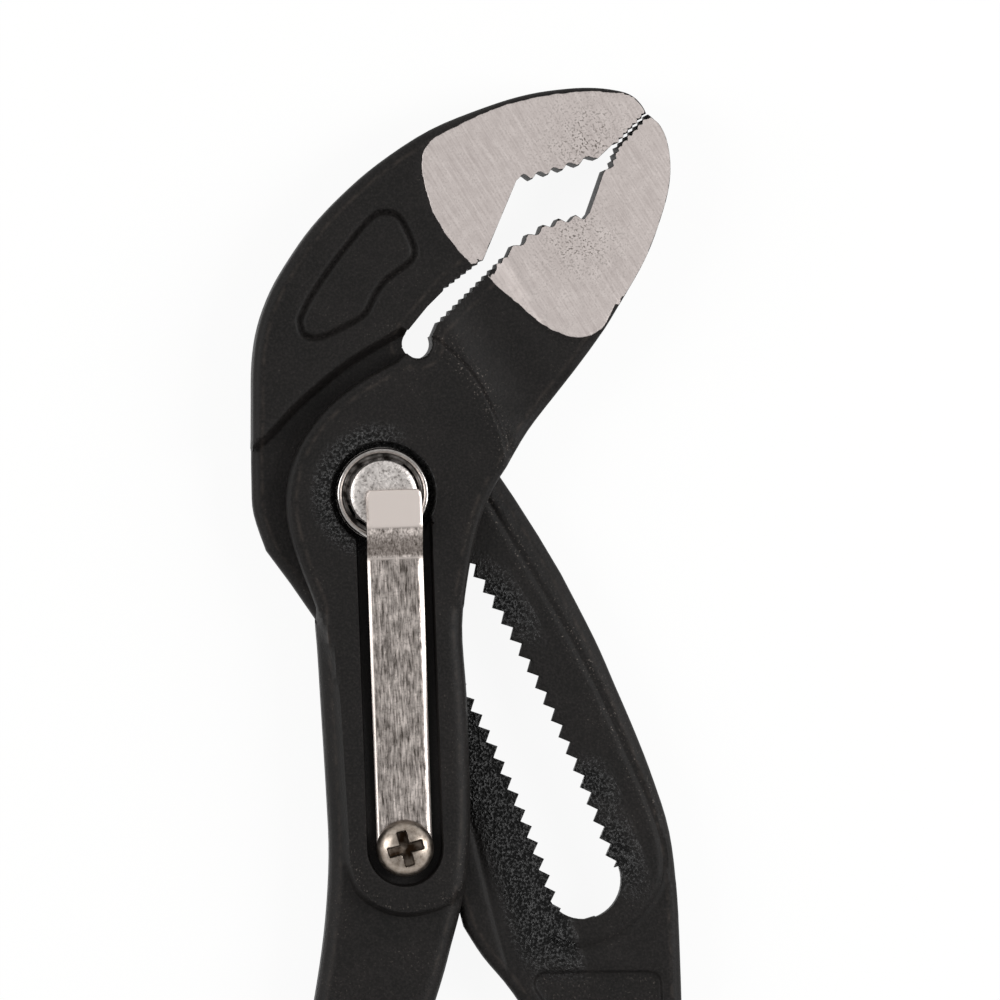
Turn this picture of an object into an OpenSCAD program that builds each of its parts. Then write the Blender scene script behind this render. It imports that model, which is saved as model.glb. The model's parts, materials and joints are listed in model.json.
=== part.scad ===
// Box-joint water pump pliers of the 250 mm class, lying flat on their back.
// +X points to the right-hand handle, +Y to the jaws and +Z out of the front.
// The pivot axis is the Z axis, and z = 0 is the face that the tool rests on.
// The bolt is drawn pushed forward, clear of the slot's teeth, so the legs are free to slide.

/* [Slot arc] */
// Distance from the centre of the slot's arc to the pivot
arc_r = 194.7; // [190:0.1:200]
// Direction of the pivot seen from that centre, in degrees
arc_dir = 36.56; // [36.2:0.02:36.9]
// Width of the slot between opposite tooth tips
slot_tip_w = 8.36; // [7.8:0.02:8.6]
// Depth of a slot tooth
tooth_depth = 1.2; // [0.8:0.05:1.3]
// Distance from one slot tooth to the next
tooth_pitch = 2.5; // [2.2:0.05:2.8]
// Place of the first tooth tip past the pivot, in pitches
tooth_phase = 0.32; // [0:0.01:1]
// Thickness of the toothed front layer of the slot
tooth_zone_t = 2.0; // [1.6:0.1:2.4]
// Number of teeth that the bolt can be moved down the slot
travel_teeth = 22; // [16:1:22]
// Room between the bolt and the upper end of the slot
slot_top_room = 1.0; // [0.5:0.1:1.5]
// Room between the bolt and the lower end of the slot
slot_low_room = 6.5; // [4:0.5:7]

/* [Box joint] */
// Thickness of the tongue, the shank of the inner leg
tongue_t = 5.0; // [4.6:0.1:5.6]
// Thickness of each cheek of the outer leg
cheek_t = 3.9; // [3.6:0.1:4.4]
// Gap between the tongue and each cheek
side_gap = 0.1; // [0.05:0.01:0.15]
// Gap between the edges of the tongue and the walls of the window
edge_gap = 0.3; // [0.2:0.05:0.5]
// Width of the shank from the middle of the slot to its left edge
shank_left_w = 17.7; // [16.5:0.1:18.5]
// Width of the shank from the middle of the slot to its right edge
shank_right_w = 15.0; // [14:0.1:16]
// Angle by which the jaws open on the pivot
open_deg = 30; // [20:1:32]

/* [Bolt and bush] */
// Outside diameter of the bush, the bright ring
bush_d = 13.0; // [12.4:0.1:13.2]
// Wall of the bush
bush_wall = 0.85; // [0.5:0.05:0.9]
// Diameter of the flange that keeps the bush in the front cheek
bush_flange_d = 13.8; // [13.4:0.1:14.4]
// Thickness of that flange
bush_flange_t = 0.7; // [0.5:0.05:0.9]
// Thickness of the lip at the top of the bush, which keeps the bolt's collar in
bush_lip_t = 0.6; // [0.4:0.05:0.7]
// Gap between that lip and the bolt's head
lip_gap = 0.4; // [0.3:0.05:0.5]
// Diameter of the recess round the bush
recess_d = 14.6; // [14:0.1:15.4]
// Depth of the recess round the bush
recess_depth = 2.0; // [1.6:0.1:2.2]
// Depth of the rim of the bush under the cheek's face
bush_sink = 1.1; // [0.9:0.05:1.4]
// Diameter of the bolt's head
bolt_head_d = 9.5; // [9:0.1:9.8]
// Height of the locked bolt's head over the rim of the bush
bolt_proud = 0.85; // [0.6:0.05:1.1]
// Diameter of the bolt's tail, the button in the back cheek
bolt_tail_d = 8.0; // [7.4:0.1:8.4]
// Radial running clearance of the bush and the bolt's tail
fit_gap = 0.05; // [0.02:0.01:0.1]
// Clearance between the teeth of the bolt and of the slot
mesh_gap = 0.15; // [0.1:0.01:0.2]
// Depth and width of the fingertip bevel round the button
button_bevel = 1.4; // [1:0.1:1.8]

/* [Leaf spring] */
// Width of the leaf spring
leaf_w = 7.8; // [6.6:0.1:8]
// Thickness of the leaf spring
leaf_t = 0.8; // [0.6:0.05:0.9]
// Distance from the pivot, along the leaf, at which the tab starts
tab_start = 4.6; // [4.2:0.1:5]
// Length of the rising stretch, seen from the front
leaf_rise_l = 4.4; // [4:0.1:4.6]
// Length of the tab on the bolt's head
leaf_tab_l = 5.3; // [4.6:0.1:6]
// Radius of the tab's corners
tab_corner_r = 0.8; // [0.4:0.1:1.6]
// Lean of the leaf spring to the left, in degrees
leaf_lean = 2.05; // [1.6:0.05:2.4]
// Width of the channel that the leaf spring lies in
channel_w = 10.5; // [9.5:0.1:11]
// Depth of that channel
channel_depth = 2.5; // [2.2:0.1:2.6]
// Gap over and under the leaf at the screw, and between the tab and the locked bolt
leaf_gap = 0.3; // [0.25:0.05:0.4]

/* [Screw] */
// Place of the screw from the pivot, along X
screw_x = 3.1; // [2.6:0.1:3.6]
// Place of the screw from the pivot, along Y
screw_y = -49.6; // [-50.2:0.1:-49]
// Thread diameter of the screw
screw_d = 4.0; // [3.5:0.1:4.2]
// Length of the screw's thread below its head
screw_l = 9.0; // [7:0.5:10]
// Diameter of the screw's pan head
screw_head_d = 8.0; // [7.4:0.1:8.4]
// Height of the screw's pan head
screw_head_h = 2.4; // [2:0.1:2.8]
// Length of the cross recess
cross_l = 5.0; // [4.4:0.1:5.4]
// Width of an arm of the cross recess
cross_w = 1.2; // [0.9:0.05:1.4]
// Depth of the cross recess
cross_depth = 1.4; // [1:0.1:1.6]
// Turn of the cross recess, in degrees
cross_turn = 15; // [0:1:45]

/* [Jaws] */
// Thickness of both jaws
jaw_t = 11.5; // [10:0.1:12.4]
// Depth of the scalloped teeth
scallop_depth = 0.8; // [0.6:0.05:1.1]
// Depth of the fine teeth
fine_depth = 0.4; // [0.3:0.05:0.5]
// Radius of the round end of the gap between the jaws
throat_r = 2.1; // [1.8:0.05:2.3]
// Depth of the kidney-shaped groove on the head of the inner leg
kidney_depth = 0.6; // [0.3:0.1:1]
// Width of that groove
kidney_w = 1.3; // [0.8:0.1:1.8]
// Depth of the valley across the neck of the lower jaw
valley_depth = 1.1; // [0.6:0.1:1.6]
// Radius of that valley
valley_r = 16; // [12:1:20]

/* [Handles and grips] */
// Distance along Y from the pivot to the middle of the handles' round ends
handle_l = 184; // [160:1:200]
// Distance along Y from the pivot to the place where the handles take their full shape
handle_start = 105; // [102:0.5:108]
// Thickness of the outer leg's handle
handle_t = 9.0; // [8:0.1:10]
// Width of both handles inside the grips
core_w = 12.4; // [11:0.1:13.4]
// Depth of the sunk panel on each face of the inner leg's handle
panel_depth = 0.7; // [0.4:0.1:1]
// Width of the rim round that panel
panel_rim = 2.6; // [2:0.1:3.2]
// Radius of the panel's corners
panel_corner_r = 2.0; // [1:0.1:2.4]
// Thickness of the plastic on the edges of a handle
grip_wall = 1.8; // [1.4:0.1:2.4]
// Length of a grip past the end of its handle
grip_end_l = 3.0; // [2:0.5:4]

/* [Hidden] */

$fa = 1;
$fs = 0.3;
eps = 0.01;
black = [0.15, 0.14, 0.14];
steel = [0.75, 0.73, 0.71];

// Levels through the joint, from the back face up
tongue_z = cheek_t + side_gap;
tongue_top = tongue_z + tongue_t;
cheek_z = tongue_top + side_gap;
joint_t = cheek_z + cheek_t;
mid_z = joint_t / 2;
tooth_zone_z = tongue_top - tooth_zone_t;
channel_z = joint_t - channel_depth;
recess_z = joint_t - recess_depth;
bush_top = joint_t - bush_sink;
leaf_z = channel_z + leaf_gap;

// The slot's arc
arc_c = -arc_r * [cos(arc_dir), sin(arc_dir)];
pitch_deg = tooth_pitch / arc_r * 180 / PI;
slot_root_r = slot_tip_w / 2 + tooth_depth;
slot_top = arc_dir + slot_top_room / arc_r * 180 / PI;
slot_low = arc_dir - travel_teeth * pitch_deg - slot_low_room / arc_r * 180 / PI;
shank_in = arc_r - shank_left_w;
shank_out = arc_r + shank_right_w;

// The bolt: its collar meshes with the slot, and lifts out of it into the bush
collar_t = tooth_zone_t;
stroke = tooth_zone_t + side_gap;
bush_bore_r = bush_d / 2 - bush_wall;
collar_r = bush_bore_r - mesh_gap;
collar_z = tooth_zone_z + side_gap / 2;
bolt_top = bush_top + bolt_proud;

// The leaf spring turns about the screw as the bolt lifts its tab
screw_at = [screw_x, screw_y];
tab_z = bolt_top + leaf_gap;
leaf_arm = norm(screw_at) - tab_start;
leaf_flat_l = leaf_arm - leaf_rise_l;
flex_deg = atan(stroke / leaf_arm);

// A point at radius r and direction a from the centre of the slot's arc
function at(r, a) = arc_c + r * [cos(a), sin(a)];

// A smooth curve through the points p, each span cut in n
function smooth(p, n = 4) = concat(
    [for (i = [0:len(p) - 2], k = [0:n - 1])
        let (t = k / n, a = p[max(i - 1, 0)], b = p[i], c = p[i + 1], d = p[min(i + 2, len(p) - 1)])
        0.5 * (2 * b + (c - a) * t + (2 * a - 5 * b + 4 * c - d) * t^2 + (3 * b - a - 3 * c + d) * t^3)],
    [p[len(p) - 1]]);

// The points p in the opposite order
function turned(p) = [for (i = [len(p) - 1:-1:0]) p[i]];

// Unit normals to the left of a run of points
function normals(p) = [for (i = [0:len(p) - 1])
    let (d = p[min(i + 1, len(p) - 1)] - p[max(i - 1, 0)]) [-d[1], d[0]] / norm(d)];

// A row of n saw teeth from p to q, cut into the metal on the right of the run
function fine_teeth(p, q, n) =
    let (step = (q - p) / n, right = [step[1], -step[0]] / norm(step))
    [for (i = [0:n - 1]) each [p + i * step, p + (i + 0.5) * step + right * fine_depth]];

// Hollows between tooth tips, each a softened half wave cut into the metal on the right of the run
function scallops(tips, n = 6) = concat(
    [for (i = [0:len(tips) - 2], k = [0:n - 1])
        let (step = tips[i + 1] - tips[i], right = [step[1], -step[0]] / norm(step), t = k / n)
        tips[i] + t * step + right * scallop_depth * sin(180 * t)^1.5],
    [tips[len(tips) - 1]]);

// Teeth that a toothed band runs past the slot at each end
spare_teeth = 2;

// One edge of a toothed band, tip and root in turn, moved by gap towards the middle
function slot_edge(side, gap) = [
    for (i = [floor((slot_low - arc_dir) / pitch_deg) - spare_teeth
              :ceil((slot_top - arc_dir) / pitch_deg) + spare_teeth])
        let (a = arc_dir + (i + tooth_phase) * pitch_deg)
        each [at(arc_r + side * (slot_tip_w / 2 - gap), a),
              at(arc_r + side * (slot_root_r - gap), a + pitch_deg / 2)]];

// A layer of a flat shape between two heights
module layer(z, top) {
    translate([0, 0, z]) linear_extrude(top - z) children();
}

// A stretch of ring about the centre of the slot's arc
module arc_band(r_in, r_out, a_from, a_to) {
    translate(arc_c) intersection() {
        difference() {
            circle(r_out);
            circle(r_in);
        }
        polygon([[0, 0], 2 * r_out * [cos(a_from), sin(a_from)], 2 * r_out * [cos(a_to), sin(a_to)]]);
    }
}

// A plain slot of half width r along the arc, with round ends
module plain_slot(r) {
    arc_band(arc_r - r, arc_r + r, slot_low, slot_top);
    for (a = [slot_low, slot_top]) translate(at(arc_r, a)) circle(r);
}

// A toothed band along the arc, narrowed by gap on each edge
module toothed_band(gap) {
    polygon(concat(slot_edge(1, gap), turned(slot_edge(-1, gap))));
}

// Stretch above the middle of the slot's round lower end that is clear of teeth on the right-hand side
toothless = 0.4;

// The toothed slot
module toothed_slot() {
    intersection() {
        plain_slot(slot_root_r);
        union() {
            toothed_band(0);
            translate(at(arc_r, slot_low)) rotate(slot_low) translate([0, -2 * slot_root_r])
                square([2 * slot_root_r, 2 * slot_root_r + toothless]);
        }
    }
}

// The round end of the gap between the jaws
throat_at = [4.9, 21.1];

// The upper jaw and head of the inner leg
head_back = smooth([[36.9, 53.3], [36.4, 54.3], [35.2, 55.6], [33.4, 56.4], [30, 56.9], [25.9, 56.8],
    [20.4, 56], [14.4, 54.2], [6.6, 51], [-0.3, 46.5], [-5.5, 42], [-9.7, 37.5], [-12.9, 33],
    [-15.5, 28.5], [-17.3, 23.6], [-18.1, 18.5], [-18.2, 12], [-18.2, 6.2]]);
head_step = smooth([[-18.2, 6.2], [-15.8, 8.2], [-11.4, 12.9], [-5.4, 17.9], [-0.8, 20.8], [2.6, 22.8]]);
upper_bite = concat(
    fine_teeth([36.9, 53.3], [32.4, 48.6], 7),
    scallops([[30.1, 47], [27.4, 46], [25.1, 45.3], [23.1, 44.7], [20.9, 44.1], [18.7, 43.9]]),
    fine_teeth([14, 32.7], [8.4, 28.4], 7),
    [[8.4, 28.4], [6.2, 26.2], [3.6, 23]]);

module head_2d() {
    polygon(concat(head_back, head_step, turned(upper_bite)));
}

// The kidney-shaped groove on the head
kidney = smooth([[-12.3, 24.4], [-11.6, 22], [-9.2, 21.2], [-6.2, 22.3], [-2.2, 24.6], [-0.6, 27.4],
    [1, 29.6], [4.4, 32.2], [5.1, 34.3], [4, 37.2], [2.6, 39.4], [0.4, 40.1], [-2, 39.2], [-6.6, 33.8],
    [-10.6, 28], [-12.3, 24.4]]);

module kidney_2d() {
    difference() {
        polygon(kidney);
        offset(delta = -kidney_w) polygon(kidney);
    }
}

// The tongue: the shank of the inner leg, its edges arcs about the slot's centre
root_dir = 37.6;
handle_dir = 30;

module tongue_2d() {
    arc_band(shank_in, shank_out, handle_dir, root_dir);
    arc_band(arc_r - 5, shank_out, handle_dir, 41.5);
    polygon(concat(
        smooth([at(shank_in, root_dir), [-17.9, -2.8], [-18.2, 1.7], [-18.2, 8], [-17.6, 14]]),
        [[-8, 22], [0, 24], [3.4, 23], [2.9, 20.7], at(arc_r + 5, 40), at(arc_r + 5, 35), at(shank_in + 4, 35)]));
}

// The axis of a handle, from the X of its points, which are evenly spaced along Y
function handle_axis(xs) = smooth([for (i = [0:len(xs) - 1])
    [xs[i], -handle_start - (handle_l - handle_start) * i / (len(xs) - 1)]]);

// The right-hand handle, a flat continuation of the shank
inner_axis = handle_axis([37.4, 39.8, 40.8, 39.6, 36.6]);
inner_left = concat(
    [for (a = [handle_dir:-1:19]) at(shank_in, a)],
    smooth([[11.6, -60.8], [14.3, -65], [18.5, -70.1], [23.4, -78], [27.6, -89]]));
inner_right = smooth([at(shank_out, handle_dir), [30, -20.4], [32.9, -27], [35.7, -33.5], [38.2, -40],
    [40.5, -47.5], [41.6, -56.6], [42.1, -67.8], [42.4, -78], [43, -89]]);

// The round end of a handle is a hair wider than its sides
end_swell = 0.05;

// The end of a handle inside its grip, from its axis
function core_side(axis, side) = axis + side * core_w / 2 * normals(axis);

module inner_handle_2d() {
    polygon(concat(inner_left, core_side(inner_axis, -1), turned(core_side(inner_axis, 1)), turned(inner_right),
        [at(shank_out - 6, handle_dir + 3), at(shank_in + 6, handle_dir + 3)]));
    translate(inner_axis[len(inner_axis) - 1]) circle(core_w / 2 + end_swell);
}

// The sunk panel on both faces of that handle, with round corners, from below the slot to the grip
panel_top_y = -66.8;
panel_end_y = inner_axis[2][1];

module handle_panel_2d() {
    offset(r = panel_corner_r) offset(delta = -panel_rim - panel_corner_r) intersection() {
        inner_handle_2d();
        translate([0, panel_end_y]) square([arc_r, panel_top_y - panel_end_y + panel_rim]);
    }
}

module inner_leg() {
    color(black) difference() {
        union() {
            layer(mid_z - jaw_t / 2, mid_z + jaw_t / 2) head_2d();
            layer(tongue_z, tongue_top) {
                tongue_2d();
                inner_handle_2d();
            }
        }
        layer(-eps, joint_t) translate(throat_at) circle(throat_r);
        layer(tooth_zone_z, tongue_top + eps) toothed_slot();
        layer(tongue_z - eps, tooth_zone_z) plain_slot(slot_root_r + mesh_gap);
        layer(mid_z + jaw_t / 2 - kidney_depth, joint_t) kidney_2d();
        layer(0, mid_z - jaw_t / 2 + kidney_depth) kidney_2d();
        layer(tongue_top - panel_depth, joint_t) handle_panel_2d();
        layer(0, tongue_z + panel_depth) handle_panel_2d();
    }
}

// The lower jaw and neck of the outer leg
lower_bite = concat(
    [[7, 22.2]],
    fine_teeth([7.8, 24.1], [17.6, 33.9], 12),
    scallops([[18.2, 34.8], [20.3, 36.4], [22.4, 37.7], [24.6, 38.6], [27, 39.1], [29, 39.4]]),
    [[31.1, 45.4]],
    fine_teeth([31.8, 45.6], [32.9, 48.7], 3),
    fine_teeth([32.9, 48.7], [37.15, 53.2], 6),
    [[37.15, 53.2]]);
jaw_back = smooth([[37.3, 53.1], [38, 52.5], [38.9, 51.6], [39.8, 49.6], [40.3, 46.5], [40.1, 43], [39, 38.8],
    [36.9, 33.2], [33.6, 27.3], [30.2, 21.8], [25.2, 15.1], [20.4, 8.9], [17.4, 3.9]]);
cheek_crease = smooth([[17.4, 3.9], [16.9, 7.5], [14.9, 12.5], [12.2, 17.2], [7.4, 21.8]]);

module jaw_2d() {
    polygon(concat(lower_bite, jaw_back, cheek_crease, [throat_at]));
}

// The raised cheek over the tongue, which runs down the handle as a pad with a round end
cheek_left = smooth([[2.4, 18.8], [-3.2, 15.7], [-7.9, 12], [-11.7, 6.8], [-13.4, 1], [-13.3, -4], [-11.8, -9.4],
    [-9.4, -15.6], [-7.4, -22], [-6.4, -28], [-5.6, -40], [-4.9, -51.5]]);
pad_end = smooth([[-4.9, -51.5], [-3.4, -55.6], [-0.2, -58], [3.4, -58.8], [7.4, -58], [10.4, -56.2], [11.8, -54.2]]);
cheek_right = smooth([[17.4, 3.9], [15.4, 0.6], [13.5, -4.2], [12.1, -10.5], [11.2, -18.5], [11.8, -28], [12.2, -38],
    [12.3, -46.5], [11.8, -54.2]]);

module cheek_2d() {
    polygon(concat(cheek_left, pad_end, turned(cheek_right), cheek_crease, [throat_at]));
}

// The left-hand handle
outer_axis = handle_axis([-7.9, -12.6, -15.4, -15.3, -12.8]);
outer_left = smooth([[-9.3, -15.4], [-9.2, -18.4], [-8.9, -22], [-8.4, -30], [-7.6, -43], [-7.3, -51], [-7.8, -60],
    [-9, -69], [-11, -80], [-12.9, -89]]);
outer_right = smooth([[11.8, -54.2], [10.9, -58.8], [9.7, -63.3], [8.3, -68.5], [4.9, -79], [1.5, -89]]);

module outer_handle_2d() {
    polygon(concat(outer_left, core_side(outer_axis, -1), turned(core_side(outer_axis, 1)), turned(outer_right),
        turned(cheek_right), [[8, 8]]));
    translate(outer_axis[len(outer_axis) - 1]) circle(core_w / 2 + end_swell);
}

// The window that the tongue passes through, wide enough for the whole swing of the jaws
module window_2d() {
    for (turn = [0, open_deg]) rotate(turn)
        arc_band(shank_in - edge_gap, shank_out + edge_gap, arc_dir - 25, arc_dir + 25);
}

// The channel of the leaf spring, from the recess of the bush to a round end at the screw
module channel_2d() {
    translate(screw_at) rotate(leaf_lean) {
        circle(channel_w / 2);
        translate([-channel_w / 2, 0]) square([channel_w, leaf_arm]);
    }
}

// The valley across the neck runs beside the crease of the cheek
valley_dir = atan2(cheek_crease[0][1] - 21.8, cheek_crease[0][0] - 7.4);
valley_at = [19.5, 17.5];

module neck_valley(z, side) {
    translate([valley_at[0], valley_at[1], z + side * (valley_r - valley_depth)])
        rotate([0, 90, valley_dir]) cylinder(r = valley_r, h = arc_r, center = true);
}

module outer_leg() {
    color(black) difference() {
        union() {
            difference() {
                layer(mid_z - jaw_t / 2, mid_z + jaw_t / 2) jaw_2d();
                neck_valley(mid_z + jaw_t / 2, 1);
                neck_valley(mid_z - jaw_t / 2, -1);
            }
            layer(0, joint_t) cheek_2d();
            layer(mid_z - handle_t / 2, mid_z + handle_t / 2) outer_handle_2d();
        }
        layer(tongue_z - side_gap, cheek_z) window_2d();
        layer(-eps, joint_t + eps) translate(throat_at) circle(throat_r);
        layer(channel_z, joint_t + eps) channel_2d();
        layer(recess_z, joint_t + eps) circle(d = recess_d);
        layer(cheek_z, joint_t) circle(bush_d / 2 + fit_gap);
        layer(cheek_z - eps, cheek_z + bush_flange_t + side_gap) circle(bush_flange_d / 2 + side_gap);
        layer(-eps, cheek_t) circle(bolt_tail_d / 2 + fit_gap);
        translate([0, 0, -eps]) cylinder(r1 = bolt_tail_d / 2 + button_bevel, r2 = bolt_tail_d / 2, h = button_bevel);
        layer(channel_z - screw_l + leaf_t, joint_t) translate(screw_at) circle(screw_d / 2 + fit_gap);
    }
}

// The bush in the front cheek: a flanged sleeve with a lip, which the bolt slides in
module hinge_bush() {
    color(steel) difference() {
        union() {
            layer(cheek_z + side_gap / 2, cheek_z + side_gap / 2 + bush_flange_t) circle(d = bush_flange_d);
            layer(cheek_z + side_gap / 2, bush_top) circle(d = bush_d);
        }
        layer(cheek_z, bush_top - bush_lip_t) circle(bush_bore_r);
        layer(cheek_z, joint_t) circle(bolt_head_d / 2 + lip_gap);
    }
}

// The locking bolt: button, shank, toothed collar and head, lifted by its stroke
module lock_bolt() {
    color(steel) translate([0, 0, stroke]) {
        layer(side_gap / 2, collar_z) circle(d = bolt_tail_d);
        layer(collar_z + collar_t, bolt_top) circle(d = bolt_head_d);
        layer(collar_z, collar_z + collar_t) intersection() {
            circle(collar_r);
            toothed_band(mesh_gap);
        }
    }
}

// The leaf spring, bent from strip: flat on the screw, a rise over the bush and a tab on the bolt
module leaf_spring() {
    end_r = leaf_w / 2;
    rise = tab_z - leaf_z;
    corner_y = leaf_arm + leaf_tab_l - tab_corner_r;
    side = [[-end_r, 0], [leaf_flat_l, 0], [leaf_arm, rise], [leaf_arm + leaf_tab_l, rise]];
    color(steel) translate([screw_x, screw_y, leaf_z + leaf_t / 2]) rotate(leaf_lean) rotate([flex_deg, 0, 0])
        difference() {
            intersection() {
                translate([-leaf_w / 2, 0, -leaf_t / 2]) rotate([90, 0, 90]) linear_extrude(leaf_w)
                    polygon(concat(side, turned([for (p = side) p + [0, leaf_t]])));
                layer(-leaf_t, rise + 2 * leaf_t) {
                    circle(end_r);
                    translate([-end_r, 0]) square([leaf_w, corner_y]);
                    for (x = [-1, 1]) translate([x * (end_r - tab_corner_r), corner_y]) circle(tab_corner_r);
                    translate([tab_corner_r - end_r, leaf_arm]) square([leaf_w - 2 * tab_corner_r, leaf_tab_l]);
                }
            }
            layer(-leaf_t, leaf_t) circle(screw_d / 2 + leaf_gap);
        }
}

// The pan-head screw that holds the leaf spring, with a cross recess
module spring_screw() {
    head_z = leaf_z + leaf_t + leaf_gap;
    dome_r = (screw_head_d^2 / 4 + screw_head_h^2) / (2 * screw_head_h);
    color(steel) translate([screw_x, screw_y, head_z]) difference() {
        union() {
            layer(channel_z - screw_l + leaf_t - head_z, eps) circle(d = screw_d);
            intersection() {
                cylinder(d = screw_head_d, h = screw_head_h);
                translate([0, 0, screw_head_h - dome_r]) sphere(dome_r);
            }
        }
        layer(screw_head_h - cross_depth, screw_head_h) rotate(cross_turn) {
            square([cross_l, cross_w], center = true);
            square([cross_w, cross_l], center = true);
        }
    }
}

// Half sections of a grip: a squared oval that starts as a lip and closes in a round end
grip_sides = 20;
grip_square = 0.62;
grip_half = [core_w / 2 + grip_wall, joint_t / 2];
grip_skip = 4;

function oval(half) = [for (k = [0:grip_sides - 1])
    let (c = cos(360 * k / grip_sides), s = sin(360 * k / grip_sides))
    [half[0] * sign(c) * abs(c)^grip_square, half[1] * sign(s) * abs(s)^grip_square]];

// Place, normal and scale of each section along the axis of a handle
function grip_rings(axis) =
    let (n = normals(axis), last = len(axis) - 1, along = [n[last][1], -n[last][0]],
         end_l = core_w / 2 + grip_end_l)
    concat([for (i = [grip_skip:last]) [axis[i], n[i], i == grip_skip ? 0.9 : 1]],
           [for (t = [0.5, 0.8, 0.95, 1]) [axis[last] + along * end_l * t, n[last], sqrt(1 - 0.94 * t^2)]]);

module grip_body(axis) {
    rings = grip_rings(axis);
    points = [for (r = rings, p = oval(grip_half * r[2]))
        [r[0][0] + r[1][0] * p[0], r[0][1] + r[1][1] * p[0], mid_z + p[1]]];
    last = (len(rings) - 1) * grip_sides;
    polyhedron(points, concat(
        [[for (k = [0:grip_sides - 1]) k]],
        [for (j = [0:len(rings) - 2], k = [0:grip_sides - 1])
            let (a = j * grip_sides + k, b = j * grip_sides + (k + 1) % grip_sides)
            each [[a, a + grip_sides, b], [b, a + grip_sides, b + grip_sides]]],
        [[for (k = [grip_sides - 1:-1:0]) last + k]]));
}

module inner_grip() {
    color("dimgray") difference() {
        grip_body(inner_axis);
        layer(tongue_z, tongue_top) inner_handle_2d();
    }
}

module outer_grip() {
    color("dimgray") difference() {
        grip_body(outer_axis);
        layer(mid_z - handle_t / 2, mid_z + handle_t / 2) outer_handle_2d();
    }
}

inner_leg();
outer_leg();
hinge_bush();
lock_bolt();
leaf_spring();
spring_screw();
inner_grip();
outer_grip();
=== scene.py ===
"""Box-joint water pump pliers with a push-button bolt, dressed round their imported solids."""
import json
import math

import bpy
import numpy as np
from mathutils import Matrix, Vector
from mathutils.geometry import delaunay_2d_cdt


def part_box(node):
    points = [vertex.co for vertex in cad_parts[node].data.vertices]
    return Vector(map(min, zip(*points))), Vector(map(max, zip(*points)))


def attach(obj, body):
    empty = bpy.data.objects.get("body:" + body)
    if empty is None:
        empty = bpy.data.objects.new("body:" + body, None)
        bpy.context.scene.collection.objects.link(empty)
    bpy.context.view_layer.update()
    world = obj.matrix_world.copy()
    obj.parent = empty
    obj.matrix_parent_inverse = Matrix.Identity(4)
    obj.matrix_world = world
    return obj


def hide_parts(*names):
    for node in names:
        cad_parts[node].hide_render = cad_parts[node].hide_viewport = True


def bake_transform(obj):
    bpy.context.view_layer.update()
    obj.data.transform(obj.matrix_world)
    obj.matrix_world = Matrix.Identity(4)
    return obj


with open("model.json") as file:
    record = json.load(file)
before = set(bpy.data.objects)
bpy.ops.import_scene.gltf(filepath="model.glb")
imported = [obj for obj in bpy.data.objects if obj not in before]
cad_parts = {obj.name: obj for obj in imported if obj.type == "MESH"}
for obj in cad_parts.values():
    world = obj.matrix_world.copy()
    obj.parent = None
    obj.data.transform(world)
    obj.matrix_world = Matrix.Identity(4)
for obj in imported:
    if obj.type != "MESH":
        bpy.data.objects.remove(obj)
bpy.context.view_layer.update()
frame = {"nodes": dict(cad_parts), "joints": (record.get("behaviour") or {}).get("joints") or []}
scene = bpy.context.scene
scene.view_settings.view_transform = "Standard"
MM = 0.001


# Inner leg: upper jaw, head, toothed tongue and right-hand handle in one drop forging of
# chrome vanadium steel. It is coated black all over, then the jaw face is ground bare and
# the tongue slides in the window of the outer leg.

def outlines(node, z):
    """Closed outlines of a CAD node cut at height z (mm), longest first. Each triangle that
    crosses the plane gives a segment from its rising edge to its falling edge, and segments
    that share an edge follow each other."""
    mesh = frame["nodes"][node].data
    mesh.calc_loop_triangles()
    co = np.empty(len(mesh.vertices) * 3, np.float32)
    mesh.vertices.foreach_get("co", co)
    tri = np.empty(len(mesh.loop_triangles) * 3, np.int32)
    mesh.loop_triangles.foreach_get("vertices", tri)
    points, number = np.unique(np.round(co.reshape(-1, 3) / MM, 4), axis=0, return_inverse=True)
    tri = number.ravel()[tri].reshape(-1, 3).astype(np.int64)
    above = points[tri, 2] > z
    tri, above = [x[above.any(1) & ~above.all(1)] for x in (tri, above)]
    row = np.arange(len(tri))
    alone = np.where(above.sum(1) == 1, above.argmax(1), (~above).argmax(1))
    a, b, c = (tri[row, (alone + k) % 3] for k in range(3))
    count = len(points)
    first, last = (np.minimum(a, x) * count + np.maximum(a, x) for x in (b, c))
    up = above[row, alone]
    follow = dict(zip(np.where(up, last, first).tolist(), np.where(up, first, last).tolist()))
    loops = []
    while follow:
        start, key = follow.popitem()
        run = [start]
        while key != start:
            run.append(key)
            key = follow.pop(key)
        p, q = points[np.array(run) // count], points[np.array(run) % count]
        loop = (p + ((z - p[:, 2]) / (q[:, 2] - p[:, 2]))[:, None] * (q - p))[:, :2]
        loop = loop[np.linalg.norm(loop - np.roll(loop, 1, 0), axis=1) > 0.02]
        area = (loop[:, 0] * np.roll(loop[:, 1], -1) - loop[:, 1] * np.roll(loop[:, 0], -1)).sum()
        loops.append(loop if area > 0 else loop[::-1])
    return sorted(loops, key=lambda l: -np.ptp(l, axis=0).max())


def spaced(loop, step):
    """A closed outline with points at most step apart: each side is cut into equal parts."""
    side = np.roll(loop, -1, 0) - loop
    n = np.maximum(1, np.ceil(np.linalg.norm(side, axis=1) / step)).astype(int)
    i = np.repeat(np.arange(len(loop)), n)
    k = np.arange(n.sum()) - np.repeat(np.cumsum(n) - n, n)
    return loop[i] + (k / n[i])[:, None] * side[i]


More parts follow.
